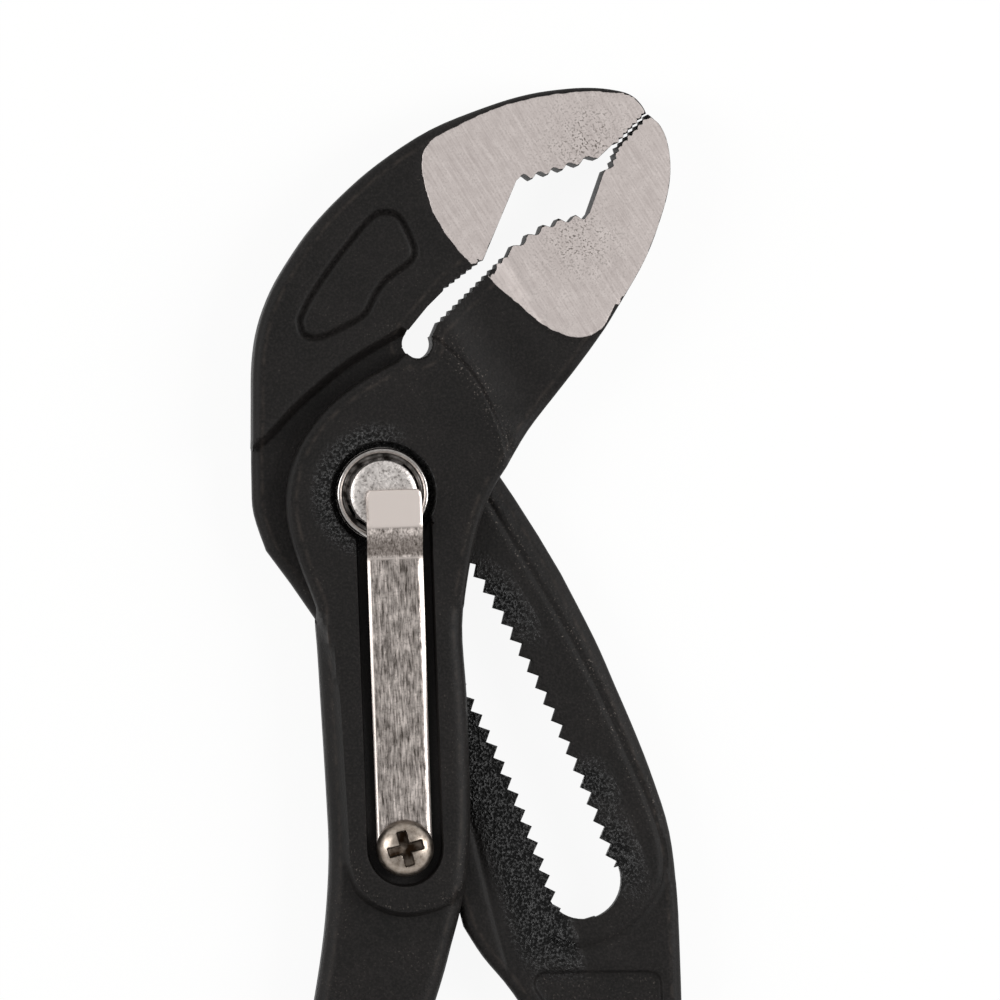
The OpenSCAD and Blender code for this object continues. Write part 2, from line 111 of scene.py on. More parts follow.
def curve(points, n=6, closed=False):
    """A smooth run through a few points: each span is a cubic that leaves a point along the
    line between that point's neighbours."""
    p = np.array(points, float)
    p = np.concatenate([p[-1:], p, p[:2]] if closed else [p[:1], p, p[-1:]])
    t = (np.arange(n) / n)[None, :, None]
    a, b, c, d = (p[k:len(p) - 3 + k][:, None] for k in range(4))
    run = 0.5 * (2 * b + (c - a) * t + (2 * a - 5 * b + 4 * c - d) * t**2
                 + (3 * b - a - 3 * c + d) * t**3)
    run = run.reshape(-1, 2)
    return run if closed else np.concatenate([run, p[-2:-1]])


def beside(p, start, end):
    """Distance of points p from the nearest of many short sides, and that side's number: the side
    whose middle is nearest and its two neighbours are measured, and the least distance counts."""
    d = end - start
    middle = ((start + end) / 2).astype(np.float32)
    near = np.empty(len(p), int)
    for part in np.array_split(np.arange(len(p)), 1 + len(p) * len(start) // 8000000):
        q = p[part].astype(np.float32) @ middle.T
        near[part] = ((middle * middle).sum(1) - 2 * q).argmin(1)
    which = (near[:, None] + np.array([-1, 0, 1])) % len(start)
    v = p[:, None] - start[which]
    t = np.clip((v * d[which]).sum(2) / np.maximum((d * d).sum(1), 1e-12)[which], 0, 1)
    far = np.linalg.norm(v - t[..., None] * d[which], axis=2)
    best = far.argmin(1)
    row = np.arange(len(p))
    return far[row, best], which[row, best]


def within(p, start, end):
    """True where a ray to the right of a point crosses an odd number of the sides."""
    hit = np.zeros(len(p), bool)
    slope = (end[:, 0] - start[:, 0]) / np.where(end[:, 1] == start[:, 1], 1, end[:, 1] - start[:, 1])
    for part in np.array_split(np.arange(len(p)), 1 + len(p) * len(start) // 6000000):
        x, y = p[part, :1], p[part, 1:]
        crossing = ((start[:, 1] > y) != (end[:, 1] > y)) & (x < start[:, 0] + (y - start[:, 1]) * slope)
        hit[part] = crossing.sum(1) % 2 == 1
    return hit


def depth(p, loop):
    """Distance of points p from a closed outline, positive inside it."""
    end = np.roll(loop, -1, 0)
    far = beside(p, loop, end)[0]
    return np.where(within(p, loop, end), far, -far)


def off_line(p, line):
    """Distance of points p from an open run of points."""
    return beside(p, line[:-1], line[1:])[0]


def ramp(x, low, high):
    """0 below low, 1 above high, and a smooth S between."""
    t = np.clip((x - low) / (high - low), 0, 1)
    return t * t * (3 - 2 * t)


def rows(line, offsets, closed):
    """Runs of points beside a line, each moved along the line's left normals by one offset."""
    d = np.roll(line, -1, 0) - np.roll(line, 1, 0)
    if not closed:
        d[0], d[-1] = line[1] - line[0], line[-1] - line[-2]
    normal = np.c_[-d[:, 1], d[:, 0]] / np.linalg.norm(d, axis=1)[:, None]
    return np.concatenate([line + normal * np.reshape(o, (-1, 1)) for o in offsets])


def triangles(points, loops, start, end):
    """Triangles between the given points that keep every side of the outlines and lie inside. A sliver
    between outline points in line is kept where no other triangle covers its side of the outline."""
    first = np.cumsum([0] + [len(l) for l in loops])
    sides = np.concatenate([np.c_[np.arange(len(l)), np.roll(np.arange(len(l)), -1)] + f
                            for l, f in zip(loops, first)])
    made = delaunay_2d_cdt(points.tolist(), sides.tolist(), [], 0, 1e-7)
    xy = np.array([tuple(v) for v in made[0]])
    faces = np.array([f for f in made[2] if len(f) == 3])
    if len(xy) != len(points) or abs(xy - points).max() > 1e-4:
        raise ValueError("the outline crosses itself")
    a, b, c = (xy[faces[:, k]] for k in range(3))
    turn = (b[:, 0] - a[:, 0]) * (c[:, 1] - a[:, 1]) - (b[:, 1] - a[:, 1]) * (c[:, 0] - a[:, 0])
    doubt = (faces < len(start)).all(1)
    sliver = doubt & (abs(turn) < 1e-5)
    keep = ~sliver
    keep[doubt] &= within(((a + b + c) / 3)[doubt], start, end)
    edge = np.sort(np.stack([faces, np.roll(faces, -1, 1)], -1), -1) @ (len(points), 1)
    uncovered = np.setdiff1d(np.sort(sides, 1) @ (len(points), 1), edge[keep])
    keep |= sliver & np.isin(edge, uncovered).any(1)
    return faces[keep]


ROUNDING = (0.05, 0.16, 0.36, 0.65, 1.0)    # where rows of points lie, as shares of an edge's radius


def plate(loops, edge_r, front, back, lines=(), grid=0.8, front_flat=False, back_flat=False):
    """A forged plate from its outlines (mm): two height fields over one plan, joined by walls.
    Within edge_r of the outline both faces drop along a quarter circle. Rows of points follow
    the outline and each drawn line, and a hexagonal grid fills the rest. A flat face is one
    plain level. Returns vertices, triangles and each vertex's distance from the outline."""
    start = np.concatenate(loops)
    end = np.concatenate([np.roll(l, -1, 0) for l in loops])
    first = np.cumsum([0] + [len(l) for l in loops])
    radius = edge_r(start)
    turns = [(l, radius[a:b] * k) for l, a, b in zip(loops, first[:-1], first[1:]) for k in ROUNDING]
    inset = np.concatenate([rows(l, (r, -r), True) for l, r in turns])
    want = np.concatenate([np.tile(r, 2) for l, r in turns])
    low, high = start.min(0), start.max(0)
    across, up = np.arange(low[0], high[0], grid), np.arange(low[1], high[1], grid * 0.866)
    hexes = np.stack(np.meshgrid(across, up), -1)
    hexes[1::2, :, 0] += grid / 2
    hexes = hexes.reshape(-1, 2)
    for line, offsets, closed in lines:
        far = beside(hexes, line, np.roll(line, -1, 0))[0] if closed else off_line(hexes, line)
        hexes = hexes[far > max(abs(np.array(offsets))) + 0.4 * grid]
    loose = np.concatenate([hexes] + [rows(line, offsets, closed) for line, offsets, closed in lines])
    # rows that run into another part of the outline are dropped, loose points keep clear of the
    # rounded edge, and one point stays of those in a cell of 0.11 mm
    ok = within(inset, start, end)
    inset, want = inset[ok], want[ok]
    inset = inset[beside(inset, start, end)[0] > 0.93 * want]
    loose = loose[within(loose, start, end)]
    far, which = beside(loose, start, end)
    plan = np.concatenate([inset, loose[far > 1.1 * radius[which] + 0.05]])
    plan = plan[np.sort(np.unique(np.round(plan / 0.11), axis=0, return_index=True)[1])]
    plan = plan[beside(plan, start, end)[0] > 0.008]
    rim = len(start)

    def face(level, flat, sign):
        """One face: its points with heights, its triangles and each point's distance from the rim."""
        p = start if flat else np.concatenate([start, plan])
        far, which = beside(p, start, end)
        far[:rim] = 0
        r = radius[which] if not flat else np.full(len(p), 0.02)
        drop = np.where(far < r, r - np.sqrt(np.maximum(r * r - (r - far) ** 2, 0)), 0)
        return np.c_[p, level(p) - sign * drop], triangles(p, loops, start, end), far

    top, top_faces, top_far = face(front, front_flat, 1)
    low, low_faces, low_far = face(back, back_flat, -1)
    number = np.arange(rim)
    after = np.concatenate([np.roll(number[a:b], -1) for a, b in zip(first[:-1], first[1:])])
    hole = np.concatenate([np.full(len(l), sum(within(l[:1], o, np.roll(o, -1, 0))[0] for o in loops
                                               if o is not l) % 2 == 1) for l in loops])
    i, j = np.where(hole, after, number), np.where(hole, number, after)
    n = len(top)
    walls = np.concatenate([np.c_[i + n, j + n, j], np.c_[i + n, j, i]])
    return (np.concatenate([top, low]), np.concatenate([top_faces, low_faces[:, ::-1] + n, walls]),
            np.concatenate([top_far, low_far]))


def even(value):
    """A height or a rounding that is the same at every point."""
    return lambda p: np.full(len(p), value)


def piece(name, shells, material, smooth_deg=38, **values):
    """One object from closed shells of vertices (mm) and faces, smooth except over sharp edges. Points
    of a shell that coincide are joined, which closes its poles and seams; quads become triangles, and
    empty ones are dropped. values are numbers for each vertex, kept as attributes for the material."""
    verts = np.concatenate([s[0] for s in shells])
    first = np.cumsum([0] + [len(s[0]) for s in shells])
    owner = np.repeat(np.arange(len(shells)), np.diff(first))
    kept, number = np.unique(np.c_[np.round(verts / 0.001), owner], axis=0, return_index=True,
                             return_inverse=True)[1:]
    faces = [np.asarray(s[1]) + k for s, k in zip(shells, first)]
    faces = np.concatenate([f[:, c] for f in faces for c in ([0, 1, 2], [0, 2, 3])[:f.shape[1] - 2]])
    faces = number.ravel()[faces]
    faces = faces[(faces != np.roll(faces, 1, 1)).all(1)]
    mesh = bpy.data.meshes.new(name)
    mesh.from_pydata((verts[kept] * MM).tolist(), [], faces.tolist())
    mesh.polygons.foreach_set("use_smooth", np.ones(len(faces), bool))
    mesh.set_sharp_from_angle(angle=math.radians(smooth_deg))
    for key, value in values.items():
        mesh.attributes.new(key, "FLOAT", "POINT").data.foreach_set("value", value[kept].astype(np.float32))
    mesh.materials.append(material)
    made = bpy.data.objects.new(name, mesh)
    scene.collection.objects.link(made)
    return made


def srgb(code):
    """A hex sRGB colour as linear RGBA."""
    c = np.array([int(code[k:k + 2], 16) for k in (1, 3, 5)]) / 255
    return (*np.where(c <= 0.04045, c / 12.92, ((c + 0.055) / 1.055) ** 2.4), 1.0)


def add(tree, kind, inputs=(), out=0, **settings):
    """Adds one shader node with its settings and returns its output socket. inputs are socket values or
    sockets to link, and out names or numbers the output."""
    made = tree.nodes.new(kind)
    for key, value in settings.items():
        setattr(made, key, value)
    for key, value in dict(inputs).items():
        if isinstance(value, bpy.types.NodeSocket):
            tree.links.new(value, made.inputs[key])
        else:
            made.inputs[key].default_value = value
    return made.outputs[out]


def forged_steel():
    """Black coated chrome vanadium forging with ground faces. The coat is a thin satin black with a fine
    grit, pale flecks along its creases, a lighter line inside its edges that is partly wear and partly a
    painted highlight of the rounded edge, and runs that stay wet and pebbled; the ground steel is warm grey
    with slanting grinding lines and clusters of dark pits."""
    made = bpy.data.materials.new("black_coated_forging")
    made.use_nodes = True
    tree = made.node_tree
    shader = tree.nodes["Principled BSDF"]
    place = add(tree, "ShaderNodeTexCoord", out="Object")
    bare, rim, wet, fleck, pitted = (add(tree, "ShaderNodeAttribute", attribute_name=key, out="Fac")
                                     for key in ("bare", "rim", "wet", "fleck", "pitted"))
    # noises by the size of their lumps in mm: pits and flecks, grit, wander and wear, pebbles, clouds
    speck, grit, wander, pebble, cloud = (
        add(tree, "ShaderNodeTexNoise", {"Vector": place, "Scale": 1 / (mm * MM), "Detail": detail})
        for mm, detail in ((0.3, 2.0), (0.35, 3.0), (1.5, 2.0), (0.38, 2.0), (7.0, 2.0)))
    # the ground face ends in a line that wanders by about 0.1 mm
    edge = add(tree, "ShaderNodeMapRange", {"Value": wander, "From Min": 0.3, "From Max": 0.7,
               "To Min": -0.09, "To Max": 0.09})
    edge = add(tree, "ShaderNodeMath", {0: bare, 1: edge}, operation="ADD")
    ground = add(tree, "ShaderNodeMapRange", {"Value": edge, "From Min": -0.04, "From Max": 0.05})
    # a Mix node's sockets are 0 for the share, 2 and 3 for two numbers, 6 and 7 for two colours
    # coat: clouds and grit, then flecks, and 1.4 mm inside the edge a lighter line of wear and painted
    # highlight
    tone = add(tree, "ShaderNodeMapRange", {"Value": cloud, "From Min": 0.3, "From Max": 0.7})
    coat = add(tree, "ShaderNodeMix", {0: tone, 6: srgb("#0e0d0c"), 7: srgb("#161413")},
               data_type="RGBA", out=2)
    grain = add(tree, "ShaderNodeMapRange", {"Value": grit, "From Min": 0.42, "From Max": 0.8,
                "To Max": 0.4})
    coat = add(tree, "ShaderNodeMix", {0: grain, 6: coat, 7: srgb("#353130")}, data_type="RGBA", out=2)
    chip = add(tree, "ShaderNodeMapRange", {"Value": speck, "From Min": 0.62, "From Max": 0.76})
    often = add(tree, "ShaderNodeMapRange", {"Value": cloud, "From Min": 0.5, "From Max": 0.75,
                "To Min": 0.04, "To Max": 0.2})
    often = add(tree, "ShaderNodeMath", {0: often, 1: fleck}, operation="ADD", use_clamp=True)
    chip = add(tree, "ShaderNodeMath", {0: chip, 1: often}, operation="MULTIPLY")
    coat = add(tree, "ShaderNodeMix", {0: chip, 6: coat, 7: srgb("#968d85")}, data_type="RGBA", out=2)
    # painted highlight and wear: a broken lighter line where the edge's rounding meets the face
    line = add(tree, "ShaderNodeMath", {0: rim, 1: 1.4}, operation="SUBTRACT")
    line = add(tree, "ShaderNodeMath", {0: line}, operation="ABSOLUTE")
    line = add(tree, "ShaderNodeMapRange", {"Value": line, "From Min": 0.4, "From Max": 0.0})
    rim_highlight_and_wear = add(tree, "ShaderNodeMapRange", {"Value": wander, "From Min": 0.38, "From Max": 0.65,
               "To Max": 0.2})
    rim_highlight_and_wear = add(tree, "ShaderNodeMath", {0: line, 1: rim_highlight_and_wear}, operation="MULTIPLY")
    coat = add(tree, "ShaderNodeMix", {0: rim_highlight_and_wear, 6: coat, 7: srgb("#5a514b")}, data_type="RGBA", out=2)
    coat = add(tree, "ShaderNodeMix", {0: wet, 6: coat, 7: srgb("#050505")}, data_type="RGBA", out=2)
    # ground steel: lines 0.3 mm wide so that they show, running down to the right at 58 degrees
    slant = add(tree, "ShaderNodeMapping", {"Vector": place, "Rotation": (0, 0, math.radians(-58)),
                "Scale": (6 * MM, 0.3 * MM, 6 * MM)}, vector_type="TEXTURE")
    lines = add(tree, "ShaderNodeTexNoise", {"Vector": slant, "Scale": 1.0, "Detail": 3.0})
    lines = add(tree, "ShaderNodeMath", {0: wander, 1: 0.6, 2: lines}, operation="MULTIPLY_ADD")
    lines = add(tree, "ShaderNodeMapRange", {"Value": lines, "From Min": 0.5, "From Max": 1.1})
    steel = add(tree, "ShaderNodeMix", {0: lines, 6: srgb("#c2b8b4"), 7: srgb("#d3cac6")},
                data_type="RGBA", out=2)
    pit = add(tree, "ShaderNodeMapRange", {"Value": speck, "From Min": 0.52, "From Max": 0.64})
    often = add(tree, "ShaderNodeMapRange", {"Value": wander, "From Min": 0.38, "From Max": 0.62,
                "To Min": 0.45, "To Max": 1.0})
    often = add(tree, "ShaderNodeMath", {0: pitted, 1: often}, operation="MULTIPLY")
    pit = add(tree, "ShaderNodeMath", {0: pit, 1: often}, operation="MULTIPLY")
    steel = add(tree, "ShaderNodeMix", {0: pit, 6: steel, 7: srgb("#40382f")}, data_type="RGBA", out=2)
    colour = add(tree, "ShaderNodeMix", {0: ground, 6: coat, 7: steel}, data_type="RGBA", out=2)
    tree.links.new(colour, shader.inputs["Base Color"])
    bright = add(tree, "ShaderNodeMapRange", {"Value": pit, "To Min": 0.75, "To Max": 0.2})
    bright = add(tree, "ShaderNodeMath", {0: ground, 1: bright}, operation="MULTIPLY")
    tree.links.new(bright, shader.inputs["Metallic"])
    dull = add(tree, "ShaderNodeMapRange", {"Value": grit, "From Min": 0.3, "From Max": 0.7,
               "To Min": 0.46, "To Max": 0.62})
    satin = add(tree, "ShaderNodeMapRange", {"Value": lines, "To Min": 0.38, "To Max": 0.45})
    dull = add(tree, "ShaderNodeMix", {0: ground, 2: dull, 3: satin})
    tree.links.new(dull, shader.inputs["Roughness"])
    # relief in units of 0.07 mm: grit and slow waves of the forging, pebbles where the coat ran
    gloss = add(tree, "ShaderNodeMapRange", {"Value": pebble, "From Min": 0.46, "From Max": 0.6})
    gloss = add(tree, "ShaderNodeMath", {0: gloss, 1: wet}, operation="MULTIPLY")
    pebble = add(tree, "ShaderNodeMath", {0: pebble, 1: wet}, operation="MULTIPLY")
    relief = add(tree, "ShaderNodeMath", {0: pebble, 1: 28.0, 2: grit}, operation="MULTIPLY_ADD")
    relief = add(tree, "ShaderNodeMath", {0: wander, 1: 1.2, 2: relief}, operation="MULTIPLY_ADD")
    scratch = add(tree, "ShaderNodeMath", {0: lines, 1: 0.15}, operation="MULTIPLY")
    relief = add(tree, "ShaderNodeMix", {0: ground, 2: relief, 3: scratch})
    bump = add(tree, "ShaderNodeBump", {"Height": relief, "Strength": 0.8, "Distance": 0.07 * MM})
    tree.links.new(bump, shader.inputs["Normal"])
    tree.links.new(bump, shader.inputs["Coat Normal"])
    tree.links.new(gloss, shader.inputs["Coat Weight"])
    shader.inputs["Coat Roughness"].default_value = 0.06
    shader.inputs["Coat IOR"].default_value = 1.6
    shader.inputs["Specular IOR Level"].default_value = 0.16
    return made


forging = forged_steel()
joint_at = {j["name"]: np.array(j.get("pos_m", (0, 0, 0))) / MM for j in frame["joints"]}
arc_centre = joint_at["slot_adjust"][:2]
arc_r = np.hypot(*arc_centre)
tongue_top, head_top, mid_z, teeth_low = 9.0, 12.25, 6.5, 7.0
# the mouth between the jaws, and the border of the ground face, closed outside the jaw
mouth = spaced(curve([(1.5, 20), (9, 22), (20, 34), (30, 38.6), (39, 53.6), (36.9, 54.1), (31.6, 49.1),
                      (18.4, 44.9), (13, 33.5), (7.4, 28.9), (2.5, 23.5)], 3, True), 0.6)
border = curve([(12.4, 32.2), (10.9, 33.7), (9.1, 36.0), (7.4, 38.7), (6.4, 41.5), (5.6, 44.5), (5.5, 47.0),
                (6.6, 49.3), (9.9, 51.3), (14.9, 53.6), (19.9, 55.2), (26.1, 56.25), (29.9, 56.4),
                (32.6, 56.2), (34.6, 56.1)], 4)
upper_ground = spaced(np.concatenate([border, [(42, 56), (30, 40), (14, 28)]]), 0.6)
inner_outer, inner_slot = outlines("inner_leg", 5.5)[:2]
slot_teeth = outlines("inner_leg", 8.0)[1]
head, kidney = (spaced(l, 0.4) for l in outlines("inner_leg", 12.0)[:2])
panel = spaced(outlines("inner_leg", 8.6)[2], 0.5)
# the head steps down to the tongue along the part of its outline that lies inside the leg
inside = depth(head, inner_outer) > 0.4
begin = np.flatnonzero(inside & ~np.roll(inside, 1))[0]
head_step = np.roll(head, -begin, 0)[:inside.sum()]
edge_crease = curve([(12.6, 3), (17, -4.4), (21.3, -11.4), (25.6, -18.6), (30.3, -27.4), (34.4, -36.6),
                     (37.6, -43.8), (39.4, -50), (39.3, -54.6), (37.2, -58.4), (34.4, -61.2),
                     (31, -62.9), (27.3, -63.4), (24.4, -62.6)], 8)
edge_bevel = np.concatenate([edge_crease[:65], [(60, -56), (60, 3)]])
left_crease = curve([(10.4, -38), (12.8, -46.8), (14.4, -53.5), (16.3, -60.9), (18.3, -68)], 8)


def inner_edge(p):
    """Rounding of the inner leg's edges: sharp at the teeth, the slot and the ground face, and soft
    elsewhere."""
    bite = depth(p, mouth) > -0.9
    slot = abs(depth(p, inner_slot)) < 0.05
    soft = np.where(p[:, 1] < -60, 1.4, 1.2) * ramp(-depth(p, upper_ground), 0.0, 1.2)
    return np.where(slot | bite, 0.0, soft)


def inner_height(p):
    """Height of the inner leg's face: the tongue's level, a soft step up to the head, a fall of the
    coat beside the ground face, a kidney groove, a bevel and creases on the tongue and a sunk panel."""
    up = ramp(off_line(p, head_step) * np.where(depth(p, head) > -0.05, 1, -1), -0.7, 0.7)
    z = tongue_top + (head_top - tongue_top) * up
    z -= 0.28 * up * ramp(-depth(p, upper_ground), 0.0, 0.8)
    z -= 0.68 * np.exp(-((depth(p, kidney) - 0.65) / 0.38) ** 2)
    z -= 0.5 * (1 - up) * ramp(depth(p, edge_bevel), 0.0, 2.4)
    z -= 0.36 * (1 - up) * np.exp(-(off_line(p, edge_crease) / 0.42) ** 2)
    z -= 0.3 * (1 - up) * np.exp(-(off_line(p, left_crease) / 0.5) ** 2)
    return z - 0.7 * ramp(depth(p, panel), -0.1, 0.6)


def eased(loop):
    """A leg's outline with the corners of its handle rounded off: between the joint and the grip each
    point moves to the mean of its neighbours, weighted by a bell curve along the outline."""
    step = np.arange(-20, 21)
    weight = np.exp(-(step / 9) ** 2)
    mean = sum(w * np.roll(loop, k, 0) for w, k in zip(weight / weight.sum(), step))
    below_joint, above_grip = ramp(loop[:, 1], -70, -78), ramp(loop[:, 1], -125, -112)
    return loop + (below_joint * above_grip)[:, None] * (mean - loop)


SOFT = (-0.9, -0.6, -0.3, 0.0, 0.3)         # rows of points along the border of a ground face (mm)
leg_plan = [eased(spaced(inner_outer, 0.45)), spaced(inner_slot, 0.6)]
inner_lines = [(head_step, (-0.75, -0.5, -0.25, 0.0, 0.25, 0.5, 0.75), False),
               (kidney, (-0.5, -0.2, 0.05, 0.25, 0.45, 0.65, 0.85, 1.05, 1.25, 1.5, 1.8), True),
               (upper_ground, SOFT, True), (panel, (-0.15, 0.0, 0.15, 0.3, 0.45, 0.65), True),
               (edge_crease, (-0.9, -0.6, -0.4, -0.2, 0.0, 0.2, 0.4, 0.6, 0.9), False),
               (left_crease, (-0.9, -0.6, -0.3, 0.0, 0.3, 0.6, 0.9), False)]
body = plate(leg_plan, inner_edge, inner_height, lambda p: 2 * mid_z - inner_height(p), inner_lines)
# the toothed layer is the front 2 mm of the slot; below it the slot is plain and a little wider
teeth_plan = [spaced(inner_slot, 0.6), spaced(slot_teeth, 0.5)]
teeth = plate(teeth_plan, lambda p: np.where(abs(depth(p, slot_teeth)) < 0.05, 0.2, 0.02),
              even(tongue_top), even(teeth_low), grid=0.7, back_flat=True)
xy = np.concatenate([body[0], teeth[0]])[:, :2]
# the coat ran and stayed wet along the left row of teeth, and in three places along the right row
left_of = arc_r - np.hypot(*(xy - arc_centre).T)
wet_left = ramp(left_of, 13.0, 9.0) * ramp(left_of, 3.0, 4.5)
wet_left *= ramp(xy[:, 1], -22, -32) * ramp(xy[:, 1], -70, -62)
wet_right = ramp(-left_of, 9.5, 6.5) * ramp(-left_of, 3.0, 4.5) * sum(
    np.exp(-((xy[:, 1] - y) / wide) ** 2) for y, wide in ((-15, 4.0), (-40.5, 2.6), (-50, 4.6)))
# only the face is ground: the side walls of the jaw and of its teeth keep their coat
wall = np.concatenate([body[2], teeth[2]]) == 0
by_crease = np.exp(-((off_line(xy, edge_crease) - 0.6) / 0.8) ** 2) * ramp(xy[:, 1], -50, -40)
inner_leg = piece("inner_leg_forging", [body, teeth], forging,
                  bare=np.where(wall, -0.5, depth(xy, upper_ground)),
                  rim=depth(xy, inner_outer),
                  wet=np.clip(wet_left + wet_right, 0, 1),
                  fleck=0.4 * by_crease + 0.1 * ramp(depth(xy, panel), 0.0, 1.0),
                  pitted=0.16 + 0.8 * np.exp(-(np.hypot(*(xy - (28.5, 49.3)).T) / 5.0) ** 2))
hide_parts("inner_leg")
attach(inner_leg, "inner_leg")


# Outer leg: lower jaw, two cheeks that box the tongue in, and the left-hand handle, forged in
# the same steel and coated black. The front cheek is milled for the spring and the bush.

channel_z, recess_z, pad_z, base_z = 10.5, 11.0, 13.0, 11.0
channel_r, channel_l, recess_r, mill_slope, button_r = 5.4, 45.1, 7.45, 0.25, 5.4
window_top, window_low, lap = 9.1, 3.9, 0.02
front_slices = outlines("outer_leg", 10.2)
back_slices = outlines("outer_leg", 3.0)
middle_slices = outlines("outer_leg", 6.5)
pad, milled = (spaced(l, 0.4) for l in outlines("outer_leg", 12.6)[:2])
screw = joint_at["leaf_flex"][:2]
lean = math.radians(2.05)
along = np.array([-math.sin(lean), math.cos(lean)])
border = curve([(14.8, 30.6), (16.4, 28.8), (18.6, 27.0), (21.8, 24.2), (24.4, 22.7), (26.9, 22.0),
                (28.8, 22.2), (30.7, 23.2), (31.6, 24.7), (32.6, 26.6)], 4)
lower_ground = spaced(np.concatenate([border, [(37, 26), (46, 46), (40, 62), (26, 50), (13, 36)]]), 0.6)
cheek_crease = curve([(17.4, 3.9), (16.9, 7.5), (14.9, 12.5), (12.2, 17.2), (7.4, 21.8)], 6)
valley_turn = math.radians(-60.8)
valley_at, valley_r, valley_depth = np.array([19.5, 17.5]), 16.0, 1.1


def outer_edge(p):
    """Rounding of the outer leg's edges: sharp at the teeth, bores and ground face, full on the handle."""
    bite = depth(p, mouth) > -0.9
    hole = (np.hypot(*p.T) < 6.6) | (np.hypot(*(p - screw).T) < 2.6)
    soft = np.where(p[:, 1] < -16, 2.1, 0.8) * ramp(-depth(p, lower_ground), 0.0, 1.2)
    return np.where(hole, 0.08, np.where(bite, 0.0, soft))


def outer_face(p):
    """Height of the outer leg's face without the milling: the handle's level or the jaw with its
    valley, a soft step up to the cheek and pad, and a fall of the coat beside the ground face."""
    side = (p - valley_at) @ np.array([-math.sin(valley_turn), math.cos(valley_turn)])
    valley = np.maximum(0, np.sqrt(np.maximum(valley_r**2 - side**2, 0)) - valley_r + valley_depth)
    jaw = head_top - valley - 0.28 * ramp(-depth(p, lower_ground), 0.0, 0.8) * ramp(p[:, 1], 10, 14)
    base = np.where(p[:, 1] > 1.0, jaw, base_z)
    return base + (pad_z - base) * ramp(depth(p, pad), -0.6, 0.3)


def outer_front(p):
    """The front face with the spring's channel and the recess of the bush milled into it."""
    t = np.clip((p - screw) @ along, 0, channel_l)
    off = np.hypot(*(p - screw - t[:, None] * along).T)
    channel = ramp(off, channel_r, channel_r - mill_slope)
    recess = ramp(np.hypot(*p.T), recess_r, recess_r - mill_slope)
    z = np.minimum(outer_face(p), pad_z - (pad_z - channel_z) * channel)
    return np.minimum(z, pad_z - (pad_z - recess_z) * recess)


def outer_back(p):
    """The back face: the same forging seen from behind, with a bevel round the button's bore."""
    bevel = np.clip(button_r - np.hypot(*p.T), 0, 1.4)
    return np.maximum(2 * mid_z - outer_face(p), bevel)


around = np.arange(0, 2 * np.pi, 0.08)
circle = np.c_[np.cos(around), np.sin(around)]
outer_lines = [(pad, (-0.7, -0.5, -0.3, -0.1, 0.1, 0.3, 0.5), True), (lower_ground, SOFT, True)]
front_plan = [eased(spaced(front_slices[0], 0.45))] + [spaced(l, 0.4) for l in front_slices[1:]]
back_plan = [eased(spaced(back_slices[0], 0.45))] + [spaced(l, 0.4) for l in back_slices[1:]]
front_cheek = plate(front_plan, outer_edge, outer_front, even(window_top),
                    outer_lines + [(milled, (-0.5, -0.3, -0.14, 0.0, 0.14, 0.3, 0.5), True)],
                    back_flat=True)
back_cheek = plate(back_plan, outer_edge, even(window_low), outer_back,
                   outer_lines + [(button_r * circle, (-0.3, 0.0, 0.35, 0.7), True)], front_flat=True)
middles = [plate([eased(spaced(l, 0.45))], even(0.02), even(window_top + lap), even(window_low - lap),
                 front_flat=True, back_flat=True)
           for l in middle_slices if np.ptp(l, axis=0).max() > 10]
shells = [front_cheek, back_cheek] + middles
xy = np.concatenate([s[0] for s in shells])[:, :2]
ring_far = np.hypot(*xy.T)
# the coat is wet on the left of the bush and in the recess round it
wet_ring = ramp(ring_far, 10.8, 7.8) * ramp(0.3 * xy[:, 1] - xy[:, 0], -2, 5)
pad_end = np.exp(-((depth(xy, pad) - 0.7) / 0.5) ** 2) * ramp(xy[:, 1], -44, -52)
wall = np.concatenate([s[2] for s in shells]) == 0
outer_leg = piece("outer_leg_forging", shells, forging,
                  bare=np.where(wall, -0.5, depth(xy, lower_ground)),
                  rim=depth(xy, front_plan[0]),
                  wet=np.maximum(0.9 * wet_ring, 0.8 * ramp(ring_far, 7.6, 7.3)),
                  fleck=0.5 * np.exp(-((off_line(xy, cheek_crease) - 0.5) / 0.9) ** 2) + 0.5 * pad_end,
                  pitted=0.16 + 0.8 * np.exp(-(np.hypot(*(xy - (27.5, 35.5)).T) / 4.5) ** 2))
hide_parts("outer_leg")
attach(outer_leg, "outer_leg")


# Bush: a flanged steel sleeve that turns in the front cheek and guides the bolt. Only its rim
# shows, a polished ring round a lip painted dark as shade.

def net(count, sides, closed=False):
    """Quads between rows of points that are rings of so many sides. closed joins the last row to the
    first."""
    i, k = np.meshgrid(np.arange(count if closed else count - 1), np.arange(sides), indexing="ij")
    j, m = (i + 1) % count, (k + 1) % sides
    return np.stack([i * sides + k, i * sides + m, j * sides + m, j * sides + k], -1).reshape(-1, 4)


def turned_part(profile, sides=96):
    """A turned part: a closed profile of radius and height carried round the Z axis."""
    p = np.array(profile, float)
    a = np.arange(sides) * 2 * np.pi / sides
    v = np.stack([p[:, 0, None] * np.cos(a), p[:, 0, None] * np.sin(a),
                  np.broadcast_to(p[:, 1, None], (len(p), sides))], -1).reshape(-1, 3)
    return v, net(len(p), sides, True)


